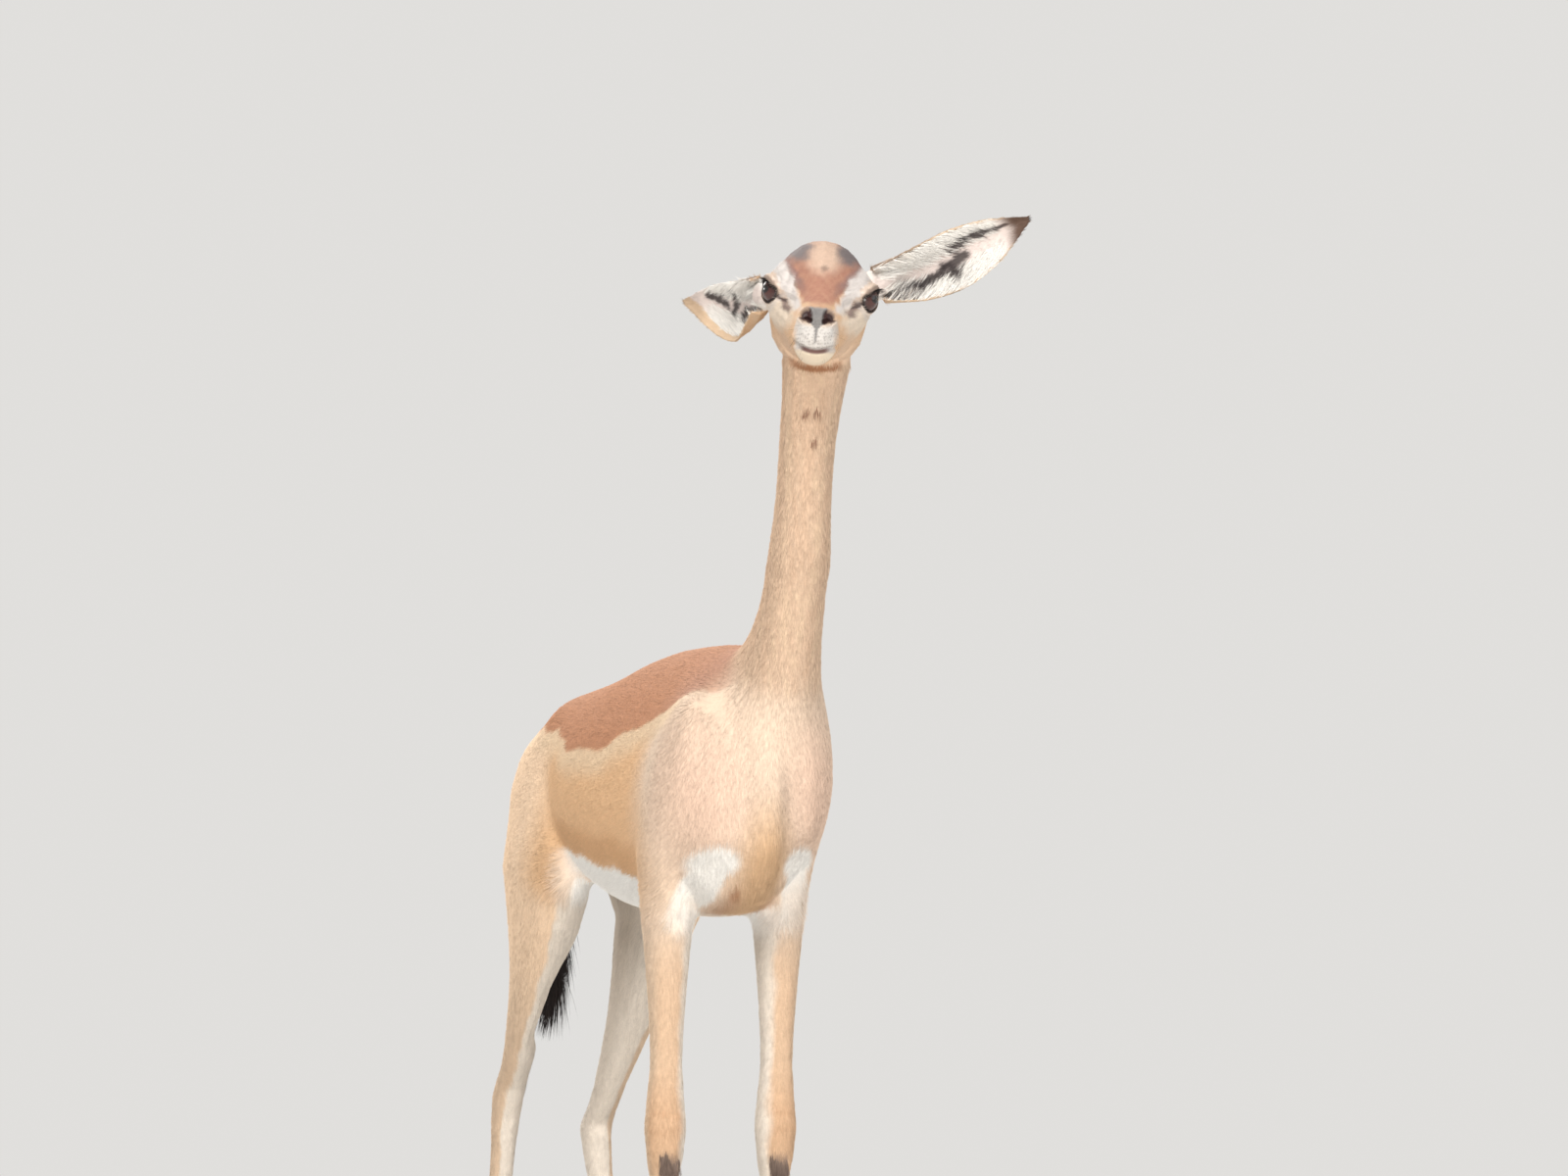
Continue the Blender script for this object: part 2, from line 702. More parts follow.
def trunk_colour(body, normals):
    x, y, z = body.T
    wobble = 3 * ripple(body, 38) + 1.2 * ripple(body, 11, 1)
    above_belly = over_belly(body) + wobble
    above_edge = z - np.interp(y, *SADDLE_EDGE) + wobble
    lengthwise = smooth(-190, -150, y) * smooth(150, 90, y)
    colour = painted(
        body, FLANK,
        (SHOULDER, smooth(-120, -200, y)),
        (HAUNCH, smooth(120, 200, y)),
        (FLANK_BAND, band(above_belly, 18, 14, 9) * lengthwise * 0.8),
        (STRIPE, smooth(-38, -8, above_edge) * smooth(-245, -215, y) * smooth(250, 170, y) * 0.85),
    )
    saddle = painted(body, SADDLE, (SADDLE_FRONT, smooth(-130, -250, y)))
    amount = smooth(-3, 3, above_edge) * smooth(-290, -205, y + 0.2 * (z - 780))
    colour = colour + (saddle - colour) * amount[:, None]
    outward = normals[:, 0] * np.sign(x)
    thigh = smooth(90, 130, y) * smooth(-0.15, 0.3, outward)
    elbow = smooth(-130, -175, y) * smooth(-0.2, 0.25, outward)
    white = smooth(4, -4, above_belly) * smooth(-235, -205, y) * (1 - thigh) * (1 - elbow)
    return breast_colour(paint(colour, BELLY, white), body, outward)


def breast_colour(colour, body, outward):
    """The rosy shoulder points, the tan breast, the white armpits and the white under the tail."""
    x, y, z = body.T
    breast = smooth(-205, -235, y)
    side = np.abs(x - MIDDLE_X)
    armpit = np.maximum(
        streak(side, z, (60, 548), (47, 600), 15, 0.2),
        spot(side, z, (46, 606), (21, 15), 0.25),
    )
    under_tail = smooth(296, 322, y) * smooth(740, 700, z) * spot(x, z, (0, 640), (52, 96))
    for tint, amount in [
        (ROSE, spot(side, z, (56, 672), (34, 60), 0.8) * breast * 0.5),
        (FLANK, spot(y, z, (-178, 612), (34, 52), 0.8) * smooth(0.1, 0.5, outward) * 0.7),
        (BREAST, breast * spot(x - MIDDLE_X, z, (0, 585), (25, 66), 0.6)),
        (CHIN_EDGE, breast * spot(side, z, (25, 560), (9, 15), 0.9) * 0.45),
        (WHITE, breast * armpit),
        (BELLY, under_tail),
        (CHIN_EDGE, spot(x, z, (-15, 577), (4, 5), 0.6) * breast * 0.6),
    ]:
        colour = paint(colour, tint, amount)
    return colour


def scabs(body):
    """1 on the three small sores at the front of her throat."""
    x, y, z = body.T
    marks = sum(spot(x, z, at, (3.6, 3), 0.4) for at in [(27, 1034), (37, 1034), (36, 1007)])
    return marks * smooth(-290, -310, y)


def neck_colour(body, normals):
    fibres = ripple(body * np.array([1, 1, 0.07]), 6, 2)
    backward = normals[:, 1]
    return painted(
        body, NECK,
        (NAPE, smooth(-0.25, 0.85, backward) * 0.85),
        (SHOULDER, smooth(800, 730, body[:, 2]) * smooth(0.3, -0.2, backward)),
        (STRIPE, np.clip(fibres, 0, 1) * 0.3),
        (SCAB, scabs(body) * smooth(0.2, -0.2, backward) * 0.9),
        (NAPE, np.clip(-fibres, 0, 1) * 0.14),
    )


def foreleg_colour(body, normals):
    x, _, z = body.T
    inward = -normals[:, 0] * np.sign(x + 4)
    forward = -normals[:, 1]
    fold = band(z + 3 * ripple(body, 30, 13), 361, 1.5, 1.5)
    lower_fold = band(z + 3 * ripple(body, 26, 14), 349, 1, 1.5)
    return painted(
        body, LEG,
        (SHOULDER, smooth(440, 600, z) * 0.8),
        (LEG_FRONT, smooth(0.2, 0.9, forward) * smooth(560, 480, z) * 0.5),
        (LEG_FRONT, band(z, 345, 44, 30) * smooth(-0.3, 0.5, forward)),
        (NAPE, (fold + 0.7 * lower_fold) * smooth(0.2, 0.7, forward) * 0.7),
        (LEG_INSIDE, smooth(0.2, 0.85, inward + 0.1 * ripple(body, 22, 3))),
        (BRUSH, band(z, 306, 16, 9) * smooth(0.72, 0.93, forward) * 0.9),
        (WHITE, smooth(540, 600, z) * smooth(-0.2, 0.3, inward + 0.5 * forward)),
    )


def hindleg_colour(body, normals):
    x, _, z = body.T
    inward = -normals[:, 0] * np.sign(x + 20)
    forward = -normals[:, 1]
    inside = inward + 1.2 * forward * smooth(180, 320, z) + 0.12 * ripple(body, 24, 4)
    back_of_hock = smooth(-0.3, -0.9, forward) * smooth(430, 360, z) * smooth(200, 290, z)
    return painted(
        body, HAUNCH,
        (LEG, smooth(560, 430, z)),
        (LEG_INSIDE, smooth(0.1, 0.5, inside)),
        (HOCK, back_of_hock * 0.75),
    )


def tail_colour(body):
    return painted(body, HAUNCH, (TAIL_DARK, smooth(672, 630, body[:, 2] + 6 * ripple(body, 16, 12))))


def head_colour(head):
    """The face: its dark red forehead, white brows, tear lines and pale muzzle."""
    x, y, z = head.T
    side = np.abs(x) + 1.4 * ripple(head, 9, 5) + 0.6 * ripple(head, 3, 10)
    level = shown_level(head) + 1.2 * ripple(head, 10, 6)
    front = smooth(32, 0, y)
    wedge = np.interp(level, [-14, -6, 2, 15, 33, 46], [13, 16, 19, 26, 40, 39])
    forehead = smooth(wedge + 3, wedge - 3, side) * smooth(-15, -3, level) * smooth(64, 24, y)
    grain = np.clip(ripple(head * np.array([1, 1, 0.12]), 4, 15), -1, 1)
    border = band(side, wedge - 2, 5.5, 4) * band(level, 26, 20, 8) * smooth(50, 20, y)
    outer_brow = streak(side, level, (48, 34), (33, 13), 7.5, 0.5)
    inner_brow = streak(side, level, (33, 13), (22.5, -10), 6.2, 0.5)
    under_eye = smooth(-12, -18, y)
    colour = painted(
        head, CHEEK,
        (NAPE, smooth(20, 60, y) * smooth(-30, 20, z) * 0.7),
        (NECK, smooth(-20, -52, z) * smooth(-60, -20, y)),
        (FOREHEAD, forehead * (0.92 + 0.08 * grain)),
        (WEDGE_EDGE, border * 0.75),
        (CROWN, spot(x, level, (1, 40), (17, 17), 0.5) * smooth(55, 25, y) * 0.8),
        (BLUE_GREY, spot(side, level, (24, 44), (12, 12), 0.5) * smooth(60, 30, y) * 0.95),
        (SOOT, spot(x, level, (2, 27), (3.5, 3), 0.6) * front * 0.5),
        (BRIDGE, smooth(18, 12, side) * smooth(-3, -12, level) * smooth(-90, -70, y)),
        (BROW, (outer_brow + inner_brow) * front),
        (CHEEK_WHITE, spot(side, level, (38, -20), (15, 15), 0.5) * smooth(2, -14, y)),
        (TEAR, streak(side, level, (37, -4), (29.5, -14), 3.6, 0.8) * under_eye * 0.9),
    )
    colour = lid_colour(colour, head)
    colour = paint(colour, SOOT, streak(side, level, (43, 0), (32, -7), 2.0, 0.7) * under_eye * 0.95)
    return muzzle_colour(colour, head)


def lid_colour(colour, head):
    reach, angle, turn = over_eye(head)
    edge = angle - lid_opening(turn)
    near = smooth(24, 20, reach) * smooth(1.9, 1.6, angle)
    above = smooth(-0.3, 0.4, np.sin(turn))
    colour = paint(colour, BROW, near * smooth(0.62, 0.5, edge) * 0.5)
    colour = paint(colour, LID, near * smooth(0.15 + 0.2 * above, 0.06 + 0.14 * above, edge) * 0.85)
    wide = 0.05 * above + 0.14 * smooth(2.3, 2.9, np.abs(turn))
    return paint(colour, LASH, near * smooth(0.08 + wide, 0.03 + 0.6 * wide, edge))


def muzzle_colour(colour, head):
    side = np.abs(head[:, 0]) + 0.8 * ripple(head, 7, 11)
    level = shown_level(head)
    tip = smooth(-70, -98, head[:, 1])
    lip = smooth(24, 15, side) * tip
    speckle = smooth(0.2, 0.9, ripple(head, 2.1, 7))
    pad = nose_pad(head)
    for tint, amount in [
        (LIP, lip * band(level, -40, 14, 5) * 0.9),
        (LIP, tip * spot(side, level, (21, -26), (7, 8), 0.7) * 0.5),
        (SOOT, lip * band(level, -40, 11, 5) * speckle * 0.45),
        (CHIN, smooth(-51, -55, level) * smooth(23, 16, side) * tip),
        (NOSE, pad),
        (LIP, pad * smooth(-15, -8, level) * (0.25 + 0.35 * smooth(6, 12, side))),
        (SOOT, pad * speckle * 0.25),
        (NOSTRIL, nostrils(head, 0.3)),
        (MOUTH, mouth_line(head) * smooth(17, 9, np.abs(head[:, 0]))),
    ]:
        colour = paint(colour, tint, amount)
    return colour


def throat_mark(head):
    """1 on the rusty crescent under the chin."""
    level = shown_level(head) - 0.01 * head[:, 0] ** 2
    return band(level, -69.5, 3.2, 2) * smooth(30, 22, np.abs(head[:, 0])) * smooth(42, 18, head[:, 1])


# Levels on the face, and the half width of the bare nose there
NOSE_PAD = ([-48, -43, -31, -27, -23, -17, -11, -7], [-1, 0.8, 1.6, 5, 12, 18, 14, 0])


def nose_pad(head):
    """1 on the bare skin round the nostrils and down the groove below them."""
    half = np.interp(shown_level(head), *NOSE_PAD)
    return smooth(half + 1, half - 1, np.abs(head[:, 0])) * smooth(-86, -93, head[:, 1])


def mouth_line(head):
    return band(head[:, 2], mouth_level(head), 2.0, 1.2) * smooth(-66, -76, head[:, 1])


def ear_colour(points, normals, ear):
    """The tan back and rims, the pale cup, and the dark strokes and tip."""
    along, low, inside = ear.places(points, normals)
    body = in_body(points)
    low = low + 0.06 * ripple(body, 9, 8) + 0.04 * ripple(body, 3.5, 9)
    strokes = [
        (EAR_DARK, streak(along, low, start, end, half, 0.55) * 0.93)
        for start, end, half in ear.strokes
    ]
    outside = painted(
        points, EAR_BACK,
        (EAR_TIP, smooth(4.7, 5.3, along) * ear.dark_tip),
        (WHITE, smooth(0.4, 0.7, low) * smooth(1.8, 2.6, along) * (1 - ear.dark_tip)),
    )
    cup = painted(
        points, EAR_SKIN,
        (WHITE, smooth(0.25, 0.7, np.abs(low)) * smooth(4.8, 4.0, along) * 0.85),
        *strokes,
        (EAR_RIM, smooth(0.86, 0.97, np.abs(low))),
        (LID, smooth(-0.84, -0.95, low) * smooth(2.4, 0.8, along) * 0.8),
        (EAR_TIP, smooth(4.6, 5.2, along + 0.2 * np.abs(low)) * ear.dark_tip),
    )
    return outside + (cup - outside) * inside[:, None]


def dewclaws(body):
    """1 on the small blunt claws behind each fetlock."""
    tips = [(x + side * 10, y, z) for x, y, z in DEWCLAWS for side in (LEFT, RIGHT)]
    return sum(smooth(10, 7, np.linalg.norm(body - tip, axis=1)) for tip in tips)


def coat_colour(points, normals, share):
    """The coat's colour anywhere on the animal, blended over the regions."""
    body, head = in_body(points), in_head(points)
    found = {
        "trunk": trunk_colour(body, normals),
        "neck": neck_colour(body, normals),
        "head": head_colour(head),
        "ear_left": ear_colour(points, normals, EARS["left"]),
        "ear_right": ear_colour(points, normals, EARS["right"]),
        "foreleg": foreleg_colour(body, normals),
        "gaskin": hindleg_colour(body, normals),
        "rear_cannon": hindleg_colour(body, normals),
        "tail": tail_colour(body),
    }
    total = share.sum(1, keepdims=True)
    colour = sum(share[:, [NAMES.index(n)]] * colour for n, colour in found.items()) / total
    colour = paint(colour, CHIN_EDGE, throat_mark(head) * 0.85)
    return paint(colour, HORN, dewclaws(body) * 0.9)


# Materials


def material(name, colour=(0.5, 0.5, 0.5), roughness=0.6, settings=None):
    made = bpy.data.materials.new(name)
    made.use_nodes = True
    shader = made.node_tree.nodes["Principled BSDF"]
    shader.inputs["Base Color"].default_value = (*colour, 1)
    shader.inputs["Roughness"].default_value = roughness
    for key, value in (settings or {}).items():
        shader.inputs[key].default_value = value
    return made, made.node_tree, shader


def node(tree, kind, **settings):
    made = tree.nodes.new(kind)
    for key, value in settings.items():
        setattr(made, key, value)
    return made


def noise_of(tree, scale, detail=3.0, roughness=0.6):
    """A noise that is fixed to the object's own coordinates."""
    place = node(tree, "ShaderNodeTexCoord")
    noise = node(tree, "ShaderNodeTexNoise")
    noise.inputs["Scale"].default_value = scale
    noise.inputs["Detail"].default_value = detail
    noise.inputs["Roughness"].default_value = roughness
    tree.links.new(place.outputs["Object"], noise.inputs["Vector"])
    return noise.outputs["Fac"]


def ramp(tree, source, stops):
    made = node(tree, "ShaderNodeValToRGB")
    elements = made.color_ramp.elements
    for element, (at, value) in zip(elements, (stops[0], stops[-1])):
        element.position = at
        element.color = (*value, 1) if hasattr(value, "__len__") else (value, value, value, 1)
    for at, value in stops[1:-1]:
        element = elements.new(at)
        element.color = (*value, 1) if hasattr(value, "__len__") else (value, value, value, 1)
    tree.links.new(source, made.inputs["Fac"])
    return made.outputs["Color"]


def tinted(tree, base, shade, amount):
    """base times shade, by amount."""
    made = node(tree, "ShaderNodeMix", data_type="RGBA", blend_type="MULTIPLY")
    made.inputs["Factor"].default_value = amount
    tree.links.new(base, made.inputs["A"])
    tree.links.new(shade, made.inputs["B"])
    return made.outputs["Result"]


def bumped(tree, shader, height, strength, distance):
    bump = node(tree, "ShaderNodeBump")
    bump.inputs["Strength"].default_value = strength
    bump.inputs["Distance"].default_value = distance
    tree.links.new(height, bump.inputs["Height"])
    tree.links.new(bump.outputs["Normal"], shader.inputs["Normal"])


def coat_material(name, streak_scale, bump):
    """Hair colour from the piece's own markings, broken up by fine noise."""
    made, tree, shader = material(name, roughness=0.72, settings={"Specular IOR Level": 0.25})
    marks = node(tree, "ShaderNodeAttribute", attribute_name="marks")
    shade = ramp(tree, noise_of(tree, streak_scale, 4), [(0.3, 0.86), (0.7, 1.0)])
    tree.links.new(tinted(tree, marks.outputs["Color"], shade, 0.9), shader.inputs["Base Color"])
    if bump:
        bumped(tree, shader, noise_of(tree, streak_scale * 1.3, 5), 0.5, bump)
    return made


def horn_material():
    """Dark horn with faint growth rings and a worn, paler edge."""
    made, tree, shader = material("hoof_horn", roughness=0.42)
    place = node(tree, "ShaderNodeTexCoord")
    rings = node(tree, "ShaderNodeTexWave", wave_type="BANDS", bands_direction="Z", wave_profile="SIN")
    rings.inputs["Scale"].default_value = 60
    rings.inputs["Distortion"].default_value = 1.2
    rings.inputs["Detail"].default_value = 2
    rings.inputs["Detail Scale"].default_value = 0.6
    tree.links.new(place.outputs["Object"], rings.inputs["Vector"])
    worn = ramp(tree, noise_of(tree, 45, 3), [(0.3, linear((56, 48, 44))), (0.75, linear((84, 73, 66)))])
    lined = ramp(tree, rings.outputs["Fac"], [(0.0, 0.88), (1.0, 1.0)])
    tree.links.new(tinted(tree, worn, lined, 0.7), shader.inputs["Base Color"])
    bumped(tree, shader, rings.outputs["Fac"], 0.18, 0.3 * MM)
    return made


# Pieces from arrays


def mesh_of(name, points, triangles, marks=None, patches=None, normals=None):
    """A mesh object from arrays, with its markings, its bake map and its shading directions."""
    mesh = bpy.data.meshes.new(name)
    mesh.vertices.add(len(points))
    mesh.vertices.foreach_set("co", points.astype(np.float32).ravel())
    mesh.loops.add(triangles.size)
    mesh.loops.foreach_set("vertex_index", triangles.astype(np.int32).ravel())
    mesh.polygons.add(len(triangles))
    mesh.polygons.foreach_set("loop_start", np.arange(0, triangles.size, 3, dtype=np.int32))
    mesh.polygons.foreach_set("use_smooth", np.ones(len(triangles), bool))
    mesh.update(calc_edges=True)
    if marks is not None:
        store_marks(mesh, marks)
    if patches is not None:
        layer = mesh.uv_layers.new(name="OFBake")
        layer.data.foreach_set("uv", patches[triangles.ravel()].astype(np.float32).ravel())
    if normals is not None:
        mesh.normals_split_custom_set_from_vertices(normals.astype(np.float32))
    piece = bpy.data.objects.new(name, mesh)
    bpy.context.scene.collection.objects.link(piece)
    return piece


def store_marks(mesh, colours):
    layer = mesh.attributes.new("marks", "FLOAT_COLOR", "POINT")
    layer.data.foreach_set("color", np.c_[colours, np.ones(len(colours))].astype(np.float32).ravel())


# Tufts


def blades(roots, ways, ups, length, width, curve, levels, fullness=0.45):
    """Tapered three-sided tufts, each with levels rings under its tip, as points and triangles."""
    count = len(roots)
    sides = unit(np.cross(ups, ways))
    steps = np.arange(levels) / levels
    rings = []
    for t in steps:
        centre = roots + ways * (length * t)[:, None] + curve * (length * t * t)[:, None]
        half = (width * (1 - t) ** 0.7 / 2)[:, None]
        rings += [centre - sides * half, centre + sides * half, centre + ups * half * 2 * fullness]
    rings.append(roots + ways * length[:, None] + curve * length[:, None])
    points = np.stack(rings, 1).reshape(-1, 3)
    faces = []
    for level in range(levels - 1):
        a, b = level * 3, level * 3 + 3
        for i, j in ((0, 1), (1, 2), (2, 0)):
            faces += [(a + i, a + j, b + j), (a + i, b + j, b + i)]
    last = levels * 3 - 3
    faces += [(last + i, last + j, levels * 3) for i, j in ((0, 1), (1, 2), (2, 0))]
    per = levels * 3 + 1
    triangles = (np.arange(count)[:, None, None] * per + np.array(faces)[None]).reshape(-1, 3)
    return points, triangles


PATCH = 0.003  # the width of a tuft's own place on the bake map


def patch_corners(at, levels):
    """Each tuft's bake patch: its rings run up the patch and its tip ends it."""
    rows = []
    for level in range(levels):
        up = level / levels
        rows += [(-0.5, up - 0.5), (0.5, up - 0.5), (0, up - 0.5)]
    rows.append((0, 0.5))
    return (at[:, None, :] + np.array(rows)[None] * PATCH).reshape(-1, 2)


class Coat:
    """What the hair does at each vertex of the skin."""

    def __init__(self, skin):
        self.skin = skin
        self.rng = np.random.default_rng(SEED)
        self.flow = lie(skin)
        self.length, self.width, self.rise, self.spacing = hair_sizes(skin)
        self.bare = bare_skin(in_head(skin.points)) * skin.of("head")

    def grow(self, name, mask, split, along):
        """Short hair over the vertices in mask, as one piece."""
        at = Roots(self, mask)
        rng, count = self.rng, at.count
        body = in_body(at.points)
        side = unit(np.cross(at.normals, at.flow))
        clump = 0.09 * ripple(body, 9, 21) + 0.07 * ripple(body, 3.7, 22)
        flow = unit(at.flow + side * (clump + rng.normal(0, 0.09, count))[:, None])
        length = at.of(self.length) * MM * rng.uniform(0.75, 1.25, count)
        rise = at.of(self.rise) * MM * rng.uniform(0.55, 1.15, count) * (1 + 0.2 * ripple(body, 6, 23))
        way = unit(flow * length[:, None] + at.normals * rise[:, None])
        width = at.of(self.width) * MM * rng.uniform(0.8, 1.2, count)
        start = at.points - at.normals * (0.25 * MM)
        shade = 1 + 0.03 * ripple(body, 7, 24) + 0.03 * ripple(body, 2.6, 25) + rng.normal(0, 0.035, count)
        colour = at.colours() * shade.clip(0.7, 1.25)[:, None]
        marks = np.repeat(colour[:, None, :], 4, 1) * np.array([0.95, 0.95, 0.98, 1.03])[None, :, None]
        made, triangles = blades(start, way, at.normals, length, width, np.zeros((count, 3)), 1)
        shading = np.repeat(at.normals[:, None, :], 4, 1).reshape(-1, 3)
        places = unwrapped(at.points, split, along)
        place_hair(name, made, triangles, marks.reshape(-1, 3), places, 1, shading)

    def hang(self, name, at, ways, length, width, colour, split, along, curve=None, levels=3):
        """Long hair from the given roots, as one piece. length and width are in millimetres."""
        bend = np.zeros((at.count, 3)) if curve is None else curve
        made, triangles = blades(at.points, ways, at.normals, length * MM, width * MM, bend, levels)
        tone = colour * self.rng.normal(1, 0.1, at.count).clip(0.6, 1.4)[:, None]
        marks = np.repeat(tone[:, None, :], levels * 3 + 1, 1).reshape(-1, 3)
        shading = np.repeat(at.normals[:, None, :], levels * 3 + 1, 1).reshape(-1, 3)
        place_hair(name, made, triangles, marks, unwrapped(at.points, split, along), levels, shading)

    def noise(self, count, amount):
        return self.rng.normal(0, amount, (count, 3))


class Roots:
    """Places spread at random over part of the skin, and what the skin has there."""

    def __init__(self, coat, mask, closeness=1.0):
        self.skin = coat.skin
        rng = coat.rng
        triangles = self.skin.triangles[mask[self.skin.triangles[:, 0]]]
        a, b, c = (self.skin.points[triangles[:, k]] for k in range(3))
        area = np.linalg.norm(np.cross(b - a, c - a), axis=1) / 2
        spacing = coat.spacing[triangles].mean(1) * MM / closeness
        density = (1 - coat.bare[triangles].mean(1)).clip(0, 1) / spacing**2
        run = np.cumsum(area * density)
        self.count = int(run[-1])
        picks = np.searchsorted(run, (np.arange(self.count) + rng.random(self.count)) / self.count * run[-1])
        self.corners = triangles[np.minimum(picks, len(triangles) - 1)]
        u, v = rng.random((2, self.count))
        over = u + v > 1
        u, v = np.where(over, 1 - u, u), np.where(over, 1 - v, v)
        self.weights = np.stack([1 - u - v, u, v], 1)
        self.points = self.of(self.skin.points)
        self.normals = unit(self.of(self.skin.normals))
        self.flow = unit(self.of(coat.flow) + 1e-9)

    def of(self, values):
        """A vertex value at the roots."""
        wide = values if values.ndim > 1 else values[:, None]
        found = np.einsum("nk,nkc->nc", self.weights, wide[self.corners])
        return found if values.ndim > 1 else found[:, 0]

    def colours(self):
        return coat_colour(self.points, self.normals, self.of(self.skin.share))


def place_hair(name, points, triangles, marks, places, levels, shading=None):
    piece = mesh_of(name, points, triangles, marks, patch_corners(places, levels), shading)
    piece.data.materials.append(COAT_MATERIAL)
    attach(piece, "root")


def hair_sizes(skin):
    """Length, width, rise at the tip and spacing of the hair at each vertex, in millimetres."""
    sizes = {
        "trunk": (10.5, 0.95, 1.3, 1.58),
        "neck": (10, 0.9, 1.7, 1.45),
        "head": (4.8, 0.54, 0.85, 0.94),
        "ear_left": (4.6, 0.56, 0.65, 1.1),
        "ear_right": (4.6, 0.56, 0.65, 1.1),
        "foreleg": (7, 0.85, 1.2, 1.4),
        "gaskin": (8.5, 0.95, 1.4, 1.6),
        "rear_cannon": (6.5, 0.85, 1.1, 1.5),
        "tail": (10, 0.9, 1.4, 1.3),
    }
    made = [sum(skin.of(n) * size[k] for n, size in sizes.items()) for k in range(4)]
    head, body = in_head(skin.points), in_body(skin.points)
    muzzle = smooth(-20, -90, head[:, 1]) * skin.of("head")
    made[0] = made[0] * (1 - 0.55 * muzzle)
    made[2] = made[2] * (1 - 0.5 * muzzle)
    made[0] = made[0] * (1 - 0.68 * band(head[:, 2], -72, 12, 6) * smooth(50, 20, head[:, 1]))
    coronet = smooth(84, 66, body[:, 2])
    made[0] = made[0] * (1 + 0.7 * coronet)
    made[2] = made[2] * (1 + 1.2 * coronet)
    under = smooth(30, -20, over_belly(body)) * skin.of("trunk")
    made[0] = made[0] * (1 + 0.5 * under)
    made[2] = made[2] * (1 + 0.5 * under)
    return made


def bare_skin(head):
    """1 where no hair grows: nose pad, nostrils, the lips' edge, lid rims and the sockets behind them."""
    reach, angle, turn = over_eye(head)
    lids = smooth(24, 20, reach) * smooth(1.9, 1.6, angle) * smooth(0.16, 0.1, angle - lid_opening(turn))
    socket = smooth(15.6, 15.0, reach)
    return np.clip(nose_pad(head) + nostrils(head, 0.5) + mouth_line(head) + lids + socket, 0, 1)


def unwrapped(points, split, along):
    """Where points lie on cylinders unwrapped about their own centre lines. split parts left from right."""
    charts = np.zeros(len(points), int) if split is None else (in_body(points)[:, 0] > split).astype(int)
    columns = charts.max() + 1
    found = np.zeros((len(points), 2))
    for chart in range(columns):
        mine = charts == chart
        if not mine.any():
            continue
        p = points[mine]
        others = [k for k in range(3) if k != along]
        low, high = p[:, along].min(), p[:, along].max() + 1e-9
        step = ((p[:, along] - low) / (high - low) * 24).astype(int).clip(0, 23)
        size = np.maximum(np.bincount(step, minlength=24), 1)
        centre = np.stack([np.bincount(step, p[:, k], 24) / size for k in others], 1)
        away = p[:, others] - centre[step]
        turn = np.arctan2(away[:, 0], away[:, 1]) / tau + 0.5
        found[mine, 0] = (chart + 0.02 + 0.96 * turn) / columns
        found[mine, 1] = 0.02 + 0.96 * (p[:, along] - low) / (high - low)
    return found


FORELEGS_X = -8  # between the forelegs, and between the hind legs
HINDLEGS_X = -26


def grow_coat(coat):
    skin = coat.skin
    body = in_body(skin.points)

    def is_in(*names):
        return np.isin(skin.region, [NAMES.index(n) for n in names])

    front = body[:, 1] < 0
    for side, left in (("left", True), ("right", False)):
        trunk = is_in("trunk") & ((body[:, 0] > MIDDLE_X) == left)
        coat.grow(f"coat_trunk_front_{side}", trunk & front, None, 1)
        coat.grow(f"coat_trunk_rear_{side}", trunk & ~front, None, 1)
        coat.grow(f"coat_foreleg_{side}", is_in("foreleg") & ((body[:, 0] > FORELEGS_X) == left), None, 2)
        hindleg = is_in("gaskin", "rear_cannon") & ((body[:, 0] > HINDLEGS_X) == left)
        coat.grow(f"coat_hindleg_{side}", hindleg, None, 2)
        coat.grow(f"coat_ear_{side}", is_in(f"ear_{side}"), None, 0)
        grow_ear_hair(coat, side)
    coat.grow("coat_neck", is_in("neck"), None, 2)
    coat.grow("coat_head", is_in("head"), None, 1)
    coat.grow("coat_tail", is_in("tail"), None, 2)
    grow_tail_tuft(coat, is_in("tail"))
    grow_brushes(coat, is_in("foreleg"))
    grow_whiskers(coat, is_in("head"))


def grow_ear_hair(coat, name):
    """Fine white hair that leans from the rims over the cup of an ear."""
    ear, skin = EARS[name], coat.skin
    along, low, inside = ear.places(skin.points, skin.normals)
    rims = (inside > 0.6) & (np.abs(low) > 0.3) & (np.abs(low) < 1.0) & (along > 0.1) & (along < 4.4)
    at = Roots(coat, rims & (skin.region == NAMES.index(f"ear_{name}")), 0.8)
    along, low, _ = ear.places(at.points, at.normals)
    over = ear.across * ear.side * -np.sign(low)[:, None]
    ways = unit(ear.along * 0.8 + over * 0.4 + at.normals * 0.28 + coat.noise(at.count, 0.13))
    length = coat.rng.uniform(8, 17, at.count) * (1.2 - 0.12 * along)
    marks = at.colours()
    for share in (0.4, 0.8):
        places = at.points + ways * (length * share * MM)[:, None]
        marks = np.minimum(marks, ear_colour(places, at.normals, ear))
    at.normals = unit(at.normals + ear.facing * 1.5 + TO_VIEWER * 0.5)
    colour = marks + (linear(EAR_HAIR) - marks) * smooth(0.1, 0.45, marks[:, :1])
    width = np.full(at.count, 0.5)
    coat.hang(f"hair_ear_{name}", at, ways, length, width, colour, None, 0, -at.normals * 0.16, 2)


